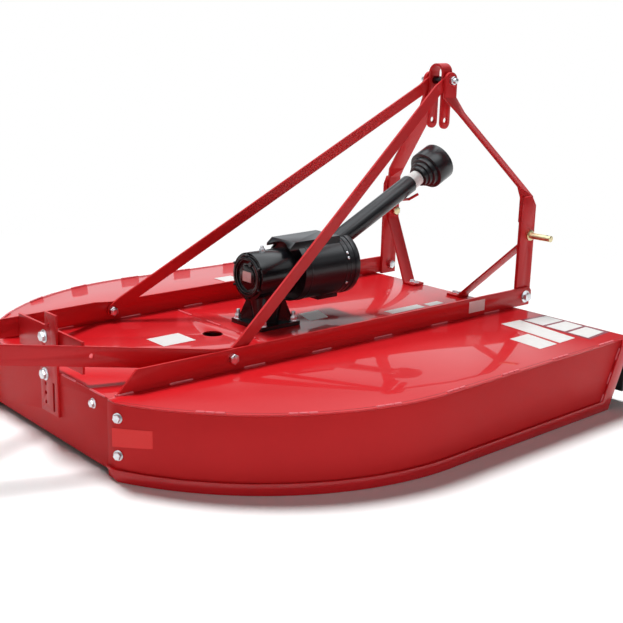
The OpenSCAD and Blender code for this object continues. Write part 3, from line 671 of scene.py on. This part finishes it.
def make_reflector():
    kit = Kit()
    radius = ARC_R + 0.4
    for side in SIDES:
        angles = [math.radians(26.3 + 8.2 * k / 6) for k in range(7)]
        strip = []
        for k, a in enumerate(angles):
            t = k / (len(angles) - 1)
            for r, z in ((radius, -127 + 12 * t), (radius, -73 + 9 * t),
                         (radius + 0.6, -73 + 9 * t), (radius + 0.6, -127 + 12 * t)):
                strip.append(deck(side * r * math.sin(a), ARC_Y + r * math.cos(a), z))
        faces = [(0, 1, 2, 3), tuple(range(len(strip) - 4, len(strip)))]
        for k in range(len(angles) - 1):
            faces += [(4 * k + i, 4 * k + (i + 1) % 4, 4 * k + 4 + (i + 1) % 4, 4 * k + 4 + i)
                      for i in range(4)]
        kit.add(strip, faces)
    kit.piece("reflectors", "frame", REFLECTOR, False)


def make_braces():
    """The long braces as flat bars with round ends, cranked near both bolts."""
    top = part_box("top_bolt")
    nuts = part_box("frame_bolts")
    start = Vector((0, (top[0].y + top[1].y) / 2, (top[0].z + top[1].z) / 2))
    end = Vector((0, nuts[1].y - 0.016, DECK_Z + 0.036))
    span = (end - start).length
    along = (end - start).normalized()
    across = Vector((1, 0, 0)).cross(along)
    half, thick = 0.020, 0.008
    foot_x = (UPRIGHT_OUT - 16) * MM
    top_x = (26 + 8.5) * MM
    knee = 0.0636
    foot_knee = 0.040
    stations = [-half * math.cos(math.radians(15 * k)) for k in range(7)]
    stations += [knee, span - foot_knee]
    stations += [span + half * math.sin(math.radians(15 * k)) for k in range(7)]
    kit = Kit()
    for side in SIDES:
        rows = []
        for s in stations:
            t = min(max((s - knee) / (span - foot_knee - knee), 0), 1)
            x = top_x + (foot_x - top_x) * t
            beyond = max(-s, s - span, 0)
            wide = max(math.sqrt(max(half ** 2 - beyond ** 2, 0)), 0.0015)
            for dx, w in ((0, -wide), (thick, -wide), (thick, wide), (0, wide)):
                rows.append(start + along * s + across * w + Vector((side * (x + dx), 0, 0)))
        last = len(stations) - 1
        faces = [(0, 1, 2, 3), tuple(range(4 * last, 4 * last + 4))]
        for k in range(last):
            faces += [(4 * k + i, 4 * k + (i + 1) % 4, 4 * k + 4 + (i + 1) % 4, 4 * k + 4 + i)
                      for i in range(4)]
        kit.add(rows, faces)
    made = kit.piece("brace_bars", "frame", RED_BAR_PAINTED_SHADE, False)
    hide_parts("braces")


# Rubber
def make_curtain():
    """The curtain cut into flaps that hang side by side."""
    low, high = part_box("front_curtain")
    count = 12
    gap = 0.004
    width = (high.x - low.x + gap) / count
    kit = Kit()
    for k in range(count):
        x0 = low.x + k * width
        lean = 0.0012 * math.sin(2.3 * k)
        ring = [Vector((x0, low.y, high.z)), Vector((x0 + width - gap, low.y, high.z)),
                Vector((x0 + width - gap, low.y - lean, low.z)), Vector((x0, low.y - lean, low.z))]
        kit.slab(ring, Vector((0, high.y - low.y, 0)))
    made = kit.piece("curtain_flaps", "frame", BELTING, False)
    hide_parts("front_curtain")
    bolts = Kit()
    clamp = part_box("clamp_bar")
    for k in range(count):
        x = clamp[0].x + (k + 0.5) * (clamp[1].x - clamp[0].x) / count
        at = Vector((x, clamp[0].y, (clamp[0].z + clamp[1].z) / 2))
        bolts.bolt(at, Vector((0, -1, 0)), 8, 6)
    bolts.piece("clamp_bolts", "frame", ZINC)


def make_tyre():
    """The small solid tyre with three grooves round its tread and rounded shoulders."""
    low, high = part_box("tyre")
    centre = (low + high) / 2
    half = (high.x - low.x) / 2 / MM
    radius = (high.z - low.z) / 2 / MM
    bead = 84.2
    profile = [(bead, 6 - half), (radius - 40, 2 - half), (radius - 24, -half), (radius - 8, 6 - half),
               (radius - 2, 14 - half)]
    for x in (-16, 0, 16):
        profile += [(radius, x - 5), (radius - 6, x - 3), (radius - 6, x + 3), (radius, x + 5)]
    profile += [(radius - 2, half - 14), (radius - 8, half - 6), (radius - 24, half),
                (radius - 40, half - 2), (bead, half - 6)]
    kit = Kit()
    kit.ring(centre, Vector((1, 0, 0)), profile, 72)
    made = kit.piece("tyre_tread", "tail_wheel", TYRE, True, 30)
    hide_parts("tyre")


make_welds()
make_edge_seam()
make_zinc_bolts()
make_gearbox_studs()
make_guard_details()
make_cap_details()
make_plates()
make_reflector()
make_braces()
make_curtain()
make_tyre()


# Studio
def make_floor():
    bpy.ops.mesh.primitive_plane_add(size=60, location=(0, 0, -0.0005))
    floor = bpy.context.object
    floor.name = "floor"
    material, nodes, links = new_material("pale floor")
    base = nodes.new("ShaderNodeBsdfDiffuse")
    base.inputs["Color"].default_value = (0.94, 0.95, 0.95, 1)
    glow = nodes.new("ShaderNodeEmission")
    glow.inputs["Color"].default_value = (1, 1, 1, 1)
    glow.inputs["Strength"].default_value = 1.0
    coordinate = nodes.new("ShaderNodeTexCoord")
    distance = nodes.new("ShaderNodeVectorMath")
    distance.operation = "LENGTH"
    links.new(coordinate.outputs["Object"], distance.inputs[0])
    fade = nodes.new("ShaderNodeMapRange")
    fade.inputs["From Min"].default_value = 1.7
    fade.inputs["From Max"].default_value = 3.2
    fade.interpolation_type = "SMOOTHSTEP"
    links.new(distance.outputs["Value"], fade.inputs["Value"])
    light_path = nodes.new("ShaderNodeLightPath")
    seen = nodes.new("ShaderNodeMath")
    seen.operation = "MULTIPLY"
    links.new(fade.outputs["Result"], seen.inputs[0])
    links.new(light_path.outputs["Is Camera Ray"], seen.inputs[1])
    both = nodes.new("ShaderNodeMixShader")
    links.new(seen.outputs["Value"], both.inputs["Fac"])
    links.new(base.outputs["BSDF"], both.inputs[1])
    links.new(glow.outputs["Emission"], both.inputs[2])
    links.new(both.outputs["Shader"], nodes["Material Output"].inputs["Surface"])
    floor.data.materials.append(material)


def make_world():
    world = bpy.data.worlds.new("studio")
    bpy.context.scene.world = world
    world.use_nodes = True
    nodes = world.node_tree.nodes
    links = world.node_tree.links
    output = nodes["World Output"]
    soft = nodes["Background"]
    soft.inputs["Color"].default_value = (1, 1, 1, 1)
    soft.inputs["Strength"].default_value = 0.12
    coordinate = nodes.new("ShaderNodeTexCoord")
    patches = nodes.new("ShaderNodeTexNoise")
    patches.inputs["Scale"].default_value = 1.7
    patches.inputs["Detail"].default_value = 1
    links.new(coordinate.outputs["Generated"], patches.inputs["Vector"])
    levels = nodes.new("ShaderNodeMapRange")
    levels.inputs["From Min"].default_value = 0.44
    levels.inputs["From Max"].default_value = 0.58
    levels.inputs["To Min"].default_value = 0.02
    levels.inputs["To Max"].default_value = 0.9
    links.new(patches.outputs["Fac"], levels.inputs["Value"])
    height = nodes.new("ShaderNodeSeparateXYZ")
    links.new(coordinate.outputs["Generated"], height.inputs["Vector"])
    overhead = nodes.new("ShaderNodeMapRange")
    overhead.inputs["From Min"].default_value = 0.55
    overhead.inputs["From Max"].default_value = 0.85
    overhead.inputs["To Max"].default_value = 2.6
    overhead.interpolation_type = "SMOOTHSTEP"
    links.new(height.outputs["Z"], overhead.inputs["Value"])
    total = nodes.new("ShaderNodeMath")
    total.operation = "ADD"
    links.new(levels.outputs["Result"], total.inputs[0])
    links.new(overhead.outputs["Result"], total.inputs[1])
    mirrored = nodes.new("ShaderNodeBackground")
    mirrored.inputs["Color"].default_value = (0.93, 0.97, 1, 1)
    links.new(total.outputs["Value"], mirrored.inputs["Strength"])
    seen = nodes.new("ShaderNodeBackground")
    seen.inputs["Color"].default_value = (1, 1, 1, 1)
    seen.inputs["Strength"].default_value = 1.0
    light_path = nodes.new("ShaderNodeLightPath")
    glossy = nodes.new("ShaderNodeMixShader")
    links.new(light_path.outputs["Is Glossy Ray"], glossy.inputs["Fac"])
    links.new(soft.outputs["Background"], glossy.inputs[1])
    links.new(mirrored.outputs["Background"], glossy.inputs[2])
    mixing = nodes.new("ShaderNodeMixShader")
    links.new(light_path.outputs["Is Camera Ray"], mixing.inputs["Fac"])
    links.new(glossy.outputs["Shader"], mixing.inputs[1])
    links.new(seen.outputs["Background"], mixing.inputs[2])
    links.new(mixing.outputs["Shader"], output.inputs["Surface"])


def area_light(name, place, target, size, watts):
    data = bpy.data.lights.new(name, "AREA")
    data.shape = "RECTANGLE"
    data.size, data.size_y = size
    data.energy = watts
    light = bpy.data.objects.new(name, data)
    bpy.context.scene.collection.objects.link(light)
    light.location = place
    light.rotation_mode = "QUATERNION"
    light.rotation_quaternion = (Vector(target) - Vector(place)).to_track_quat("-Z", "Y")
    return light


def make_lights():
    data = bpy.data.lights.new("key", "SUN")
    data.energy = 3.75
    data.angle = math.radians(18)
    key = bpy.data.objects.new("key", data)
    bpy.context.scene.collection.objects.link(key)
    key.rotation_mode = "QUATERNION"
    key.rotation_quaternion = Vector((-0.42, 0.1, -0.88)).to_track_quat("-Z", "Y")
    key.visible_glossy = False
    near = area_light("near", (-4.6, 1.8, 0.9), (0, 0, 0.25), (2.5, 1.4), 26)
    near.visible_glossy = False


make_floor()
make_world()
make_lights()
bpy.context.scene.view_settings.view_transform = "Standard"
